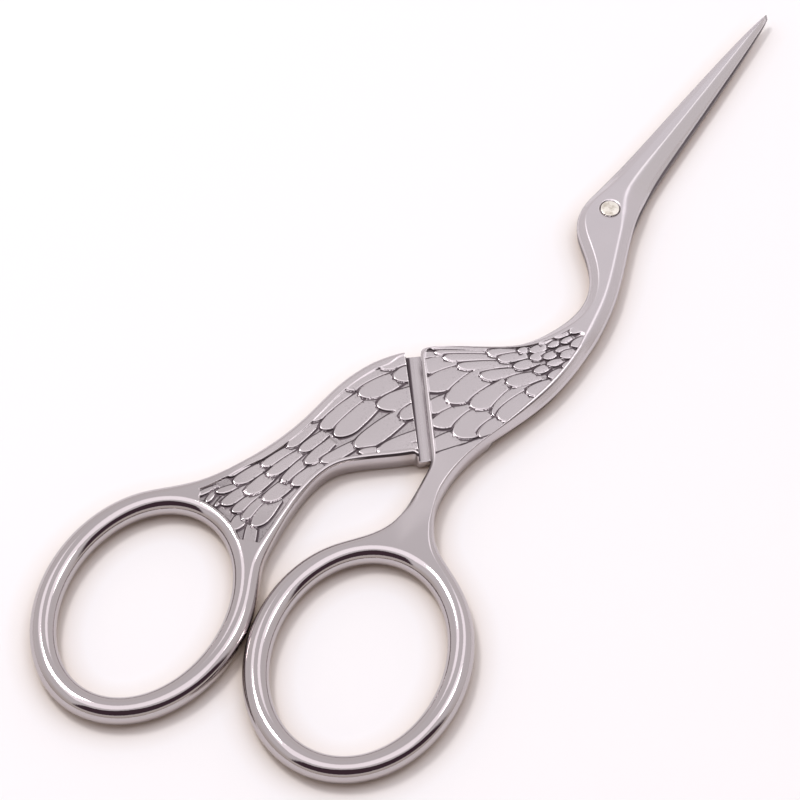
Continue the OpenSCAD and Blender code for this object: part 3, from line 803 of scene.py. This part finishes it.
# Fine wear of a polished surface from Object coordinates: a roughness change and a height
def wearGroup():
    g = bpy.data.node_groups.new("wear", "ShaderNodeTree")
    g.interface.new_socket("Roughness", in_out="OUTPUT", socket_type="NodeSocketFloat")
    g.interface.new_socket("Height", in_out="OUTPUT", socket_type="NodeSocketFloat")
    out = nodeIn(g, "NodeGroupOutput", (600, 0))
    coord = nodeIn(g, "ShaderNodeTexCoord", (-600, 0))
    cloud = nodeIn(g, "ShaderNodeTexNoise", (-300, 150), Scale=260.0, Detail=3.0, Roughness=0.6)
    grain = nodeIn(g, "ShaderNodeTexNoise", (-300, -150), Scale=5200.0, Detail=2.0, Roughness=0.5)
    g.links.new(coord.outputs["Object"], cloud.inputs["Vector"])
    g.links.new(coord.outputs["Object"], grain.inputs["Vector"])
    g.links.new(cloud.outputs["Fac"], out.inputs["Roughness"])
    g.links.new(grain.outputs["Fac"], out.inputs["Height"])
    return g


wear = wearGroup()


steelFinish = {
    "rear": (0.5, 0.458, 0.462),
    "fore": (0.655, 0.615, 0.64),
    "rearToFore": (-0.04, 0.045),
    "shadeAndDirt": (0.09, 0.072, 0.08),
    "shadeAndDirtShown": (0.05, 0.95),
    "ground": (0.61, 0.575, 0.585),
    "line": (0.25, 1.9),
    "lineNear": (0.4, 0.6),
    "polish": (0.02, 0.19),
    "wearRoughness": 0.06,
    "shadeAndDirtRoughness": 0.2,
    "grain": 0.12,
    "grainHeight": 0.00002,
}


# Polished steel: a little lighter towards the blades, dark where painted shade and dirt lie and along
# painted shadow lines at the outlines, which is where edge^2 is small, and brushed on the ground edge. Satin
# is the share of the duller polish
def steelMaterial():
    look = steelFinish
    m = bpy.data.materials.new("polishedSteel")
    m.use_nodes = True
    t = m.node_tree
    bsdf = t.nodes["Principled BSDF"]
    bsdf.inputs["Metallic"].default_value = 1.0
    worn = nodeIn(t, "ShaderNodeGroup", (-900, 0))
    worn.node_tree = wear
    coord = nodeIn(t, "ShaderNodeTexCoord", (-1500, 700))
    split = nodeIn(t, "ShaderNodeSeparateXYZ", (-1300, 700))
    t.links.new(coord.outputs["Object"], split.inputs[0])
    along = ranged(t, split.outputs["Y"], look["rearToFore"], (0, 1), (-1100, 700), "LINEAR")
    bare = blend(t, along, look["rear"], look["fore"], (-700, 600))
    # The outlines are painted shadow lines along the feathers' edges and the seam, with dirt in the grooves
    # they follow
    edge = attributeIn(t, "edge", (-1500, 400))
    square = maths(t, "MULTIPLY", (-1300, 400), edge, edge)
    thin = ranged(t, square, look["line"], (1, 0), (-1150, 450))
    near = ranged(t, attributeIn(t, "close", (-1500, 200)), look["lineNear"], (0, 1), (-1150, 250))
    outline = maths(t, "MULTIPLY", (-950, 450), thin, near)
    dark = maths(t, "MAXIMUM", (-750, 350), outline, attributeIn(t, "patinaAndShade", (-900, 200)))
    deep = ranged(t, dark, look["shadeAndDirtShown"], (0, 1), (-600, 200), "LINEAR")
    colour = blend(t, deep, bare, look["shadeAndDirt"], (-300, 200))
    colour = blend(t, attributeIn(t, "ground", (-900, -300)), colour, look["ground"], (-100, 250))
    t.links.new(colour, bsdf.inputs["Base Color"])
    satin = attributeIn(t, "satin", (-900, -550))
    least = ranged(t, satin, (0, 1), look["polish"], (-750, -550), "LINEAR")
    rough = maths(t, "MULTIPLY_ADD", (-600, -50), worn.outputs["Roughness"], look["wearRoughness"], least)
    rough = maths(t, "MULTIPLY_ADD", (-300, -50), deep, look["shadeAndDirtRoughness"], rough)
    t.links.new(rough, bsdf.inputs["Roughness"])
    bump = nodeIn(t, "ShaderNodeBump", (-300, -300), Strength=look["grain"], Distance=look["grainHeight"])
    t.links.new(worn.outputs["Height"], bump.inputs["Height"])
    t.links.new(bump.outputs["Normal"], bsdf.inputs["Normal"])
    return m


screwFinish = {
    "stain": (0.3, (0.45, 0.38, 0.30)),
    "bright": (0.5, (0.90, 0.86, 0.78)),
    "stainScale": 1100.0,
    "roughness": 0.25,
}


# Bright screw steel with small stains, from noise on Object coordinates through a ramp
def screwMaterial():
    look = screwFinish
    m = bpy.data.materials.new("screwSteel")
    m.use_nodes = True
    t = m.node_tree
    bsdf = t.nodes["Principled BSDF"]
    bsdf.inputs["Metallic"].default_value = 1.0
    coord = nodeIn(t, "ShaderNodeTexCoord", (-900, 0))
    cloud = nodeIn(t, "ShaderNodeTexNoise", (-700, 0), Scale=look["stainScale"], Detail=4.0)
    t.links.new(coord.outputs["Object"], cloud.inputs["Vector"])
    stain = nodeIn(t, "ShaderNodeValToRGB", (-450, 0))
    t.links.new(cloud.outputs["Fac"], stain.inputs["Fac"])
    for k, name in enumerate(("stain", "bright")):
        stain.color_ramp.elements[k].position = look[name][0]
        stain.color_ramp.elements[k].color = look[name][1] + (1,)
    t.links.new(stain.outputs["Color"], bsdf.inputs["Base Color"])
    bsdf.inputs["Roughness"].default_value = look["roughness"]
    return m


steel = steelMaterial()
for piece, node, body in ((frontHalf, "front_half", "front_half"), (backHalf, "back_half", "back_half")):
    piece.data.materials.append(steel)
    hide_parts(node)
    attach(piece, body)
pivotScrew.data.materials.append(screwMaterial())
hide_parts("pivot_screw")
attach(pivotScrew, "front_half")
print("materials done")

# Camera, at the photograph's angle
view = {
    "azimuth": 34.8,
    "tilt": 34.0,
    "distance": 0.36,
    "aim": (-0.004007, -0.008673, 0.0013),
    "lens": 155.39,
}
azimuth, tilt = math.radians(view["azimuth"]), math.radians(view["tilt"])
ahead = Vector((-math.sin(azimuth), math.cos(azimuth), 0))
upward = ahead * math.cos(tilt) + Vector((0, 0, math.sin(tilt)))
backward = Vector((0, 0, math.cos(tilt))) - ahead * math.sin(tilt)
rightward = upward.cross(backward)
camera = bpy.data.objects.new("camera", bpy.data.cameras.new("camera"))
bpy.context.collection.objects.link(camera)
camera.data.lens = view["lens"]
camera.data.sensor_width = 36
camera.data.clip_start = 0.01
camera.data.clip_end = 10
place = Vector(view["aim"]) + backward * view["distance"]
turn = Matrix((rightward, upward, backward)).transposed().to_4x4()
camera.matrix_world = Matrix.Translation(place) @ turn
bpy.context.scene.camera = camera
bpy.context.scene.view_settings.view_transform = "Standard"


# Directions are (right, fore, up) as the camera stands, lean is atan2(fore, up), and around is the
# turn from the camera's side. Pairs are where a patch's soft edge begins and ends
studio = {
    "tent": ((0.0, (0.62, 0.56, 0.52)), (0.35, (0.70, 0.64, 0.61)),
             (0.65, (0.88, 0.85, 0.87)), (1.0, (0.88, 0.85, 0.87))),
    "cloth": (1.62, 1.55, 1.62),
    "clothWiden": (0.12, 0.27),
    "clothReach": (0.36, 0.72),
    "clothSide": (0.5, 0.42),
    "clothFrom": (-0.17, -0.09),
    "card": (0.075, 0.045, 0.06),
    "cardHeight": (0.25, 0.46),
    "cardHalf": (0.26, 0.22),
    "cardFrom": (-1.0, -0.88),
    "cardTo": (1.55, 1.38),
    "far": (0.86, 0.82, 0.83),
    "farAhead": (-0.25, 0.3),
    "farUp": (0.75, 0.45),
}


# World: a pale tent, lighter upwards and ahead, with a bright cloth overhead and a dark card on the
# camera's side, as soft-edged patches of direction. Only light and reflections show them, and the
# camera itself sees white
def makeWorld():
    world = bpy.data.worlds.new("studio")
    world.use_nodes = True
    bpy.context.scene.world = world
    t = world.node_tree
    coord = nodeIn(t, "ShaderNodeTexCoord", (-2200, 0))

    def along(axis, at):
        n = nodeIn(t, "ShaderNodeVectorMath", at)
        n.operation = "DOT_PRODUCT"
        n.inputs[1].default_value = tuple(axis)
        t.links.new(coord.outputs["Generated"], n.inputs[0])
        return n.outputs["Value"]

    def patch(value, name, at, target=(0, 1)):
        return ranged(t, value, studio[name], target, at)

    right = along(rightward, (-2000, 300))
    fore = along(ahead, (-2000, 100))
    up = along((0, 0, 1), (-2000, -100))
    tent = nodeIn(t, "ShaderNodeValToRGB", (-900, -400))
    t.links.new(up, tent.inputs["Fac"])
    ramp = tent.color_ramp
    first, *between, last = studio["tent"]
    for element, (at, colour) in zip(ramp.elements[:], (first, last)):
        element.position = at
        element.color = colour + (1,)
    for at, colour in between:
        ramp.elements.new(at).color = colour + (1,)

    lean = maths(t, "ARCTAN2", (-1700, 200), fore, up)
    aside = maths(t, "ABSOLUTE", (-1700, 350), right)
    reach = patch(aside, "clothWiden", (-1500, 350), studio["clothReach"])
    short = maths(t, "SUBTRACT", (-1300, 250), reach, lean)
    cloth = maths(t, "MULTIPLY", (-1100, 200), ranged(t, short, (-0.05, 0.05), (0, 1), (-1300, 100)),
                  patch(lean, "clothFrom", (-1300, -50)))
    cloth = maths(t, "MULTIPLY", (-950, 250), cloth, patch(aside, "clothSide", (-1300, 420)))

    back = maths(t, "MULTIPLY", (-1900, -250), fore, -1)
    around = maths(t, "ARCTAN2", (-1700, -250), right, back)
    swing = maths(t, "COSINE", (-1600, -350), around)
    height = maths(t, "MULTIPLY_ADD", (-1500, -300), swing, *studio["cardHeight"])
    off = maths(t, "ABSOLUTE", (-1350, -300), maths(t, "SUBTRACT", (-1400, -350), up, height))
    card = maths(t, "MULTIPLY", (-1100, -250), patch(off, "cardHalf", (-1250, -300)),
                 patch(around, "cardFrom", (-1250, -450)))
    card = maths(t, "MULTIPLY", (-950, -250), card, patch(around, "cardTo", (-1250, -600)))

    far = maths(t, "MULTIPLY", (-1000, -550), patch(fore, "farAhead", (-1200, -550)),
                patch(up, "farUp", (-1200, -700)))
    sky = blend(t, far, tent.outputs["Color"], studio["far"], (-750, -200))
    sky = blend(t, cloth, sky, studio["cloth"], (-600, 100))
    sky = blend(t, card, sky, studio["card"], (-400, 0))
    seen = nodeIn(t, "ShaderNodeLightPath", (-400, 300))
    sky = blend(t, seen.outputs["Is Camera Ray"], sky, (1.0, 1.0, 1.0), (-200, 100))
    t.links.new(sky, t.nodes["Background"].inputs["Color"])


makeWorld()

lamps = {
    "keyLight": {"toward": (-0.32, 0.3, 0.89), "size": 0.12, "power": 1.0, "colour": (1, 0.98, 0.97)},
    "sideLight": {"toward": (0.45, 0.25, 0.86), "size": 0.1, "power": 0.12, "colour": (1, 1, 1)},
}
lampDistance = 0.6


# A square light that faces the object from a direction (right, fore, up)
def softBox(name, spec):
    lamp = bpy.data.lights.new(name, "AREA")
    lamp.shape = "RECTANGLE"
    lamp.size = lamp.size_y = spec["size"]
    lamp.energy = spec["power"]
    lamp.color = spec["colour"]
    piece = bpy.data.objects.new(name, lamp)
    bpy.context.collection.objects.link(piece)
    right, fore, up = spec["toward"]
    direction = (Vector((0, 0, up)) + rightward * right + ahead * fore).normalized()
    piece.location = Vector(view["aim"]) + direction * lampDistance
    piece.rotation_euler = direction.to_track_quat("Z", "Y").to_euler()


for lampName, lampSpec in lamps.items():
    softBox(lampName, lampSpec)

floorLook = {
    "half": 1.5,
    "paint": (0.96, 0.948, 0.958, 1),
    "contactShadowTan": (0.72, 0.58, 0.45, 1),
    "contactShadowReach": 0.003,
    "roughness": 0.9,
}
edgeOfFloor = floorLook["half"]
corners = [(-edgeOfFloor, -edgeOfFloor, 0), (edgeOfFloor, -edgeOfFloor, 0),
           (edgeOfFloor, edgeOfFloor, 0), (-edgeOfFloor, edgeOfFloor, 0)]
floorMesh = bpy.data.meshes.new("floor")
floorMesh.from_pydata(corners, [], [(0, 1, 2, 3)])
floor = bpy.data.objects.new("floor", floorMesh)
bpy.context.collection.objects.link(floor)
floorPaint = bpy.data.materials.new("floorPaint")
floorPaint.use_nodes = True
floorTree = floorPaint.node_tree
floorShader = floorTree.nodes["Principled BSDF"]
# Painted contact shadow: the floor's colour turns tan where the steel is close, by ambient occlusion
contactShadow = nodeIn(floorTree, "ShaderNodeAmbientOcclusion", (-600, 0), Distance=floorLook["contactShadowReach"])
shadowTint = nodeIn(floorTree, "ShaderNodeMix", (-300, 0))
shadowTint.data_type = "RGBA"
shadowTint.inputs["A"].default_value = floorLook["contactShadowTan"]
shadowTint.inputs["B"].default_value = floorLook["paint"]
floorTree.links.new(contactShadow.outputs["AO"], shadowTint.inputs["Factor"])
floorTree.links.new(shadowTint.outputs["Result"], floorShader.inputs["Base Color"])
floorShader.inputs["Roughness"].default_value = floorLook["roughness"]
floorMesh.materials.append(floorPaint)
floor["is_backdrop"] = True
print("stage done")

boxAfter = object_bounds()
{"before": [list(map(float, v)) for v in boxBefore], "after": [list(map(float, v)) for v in boxAfter]}
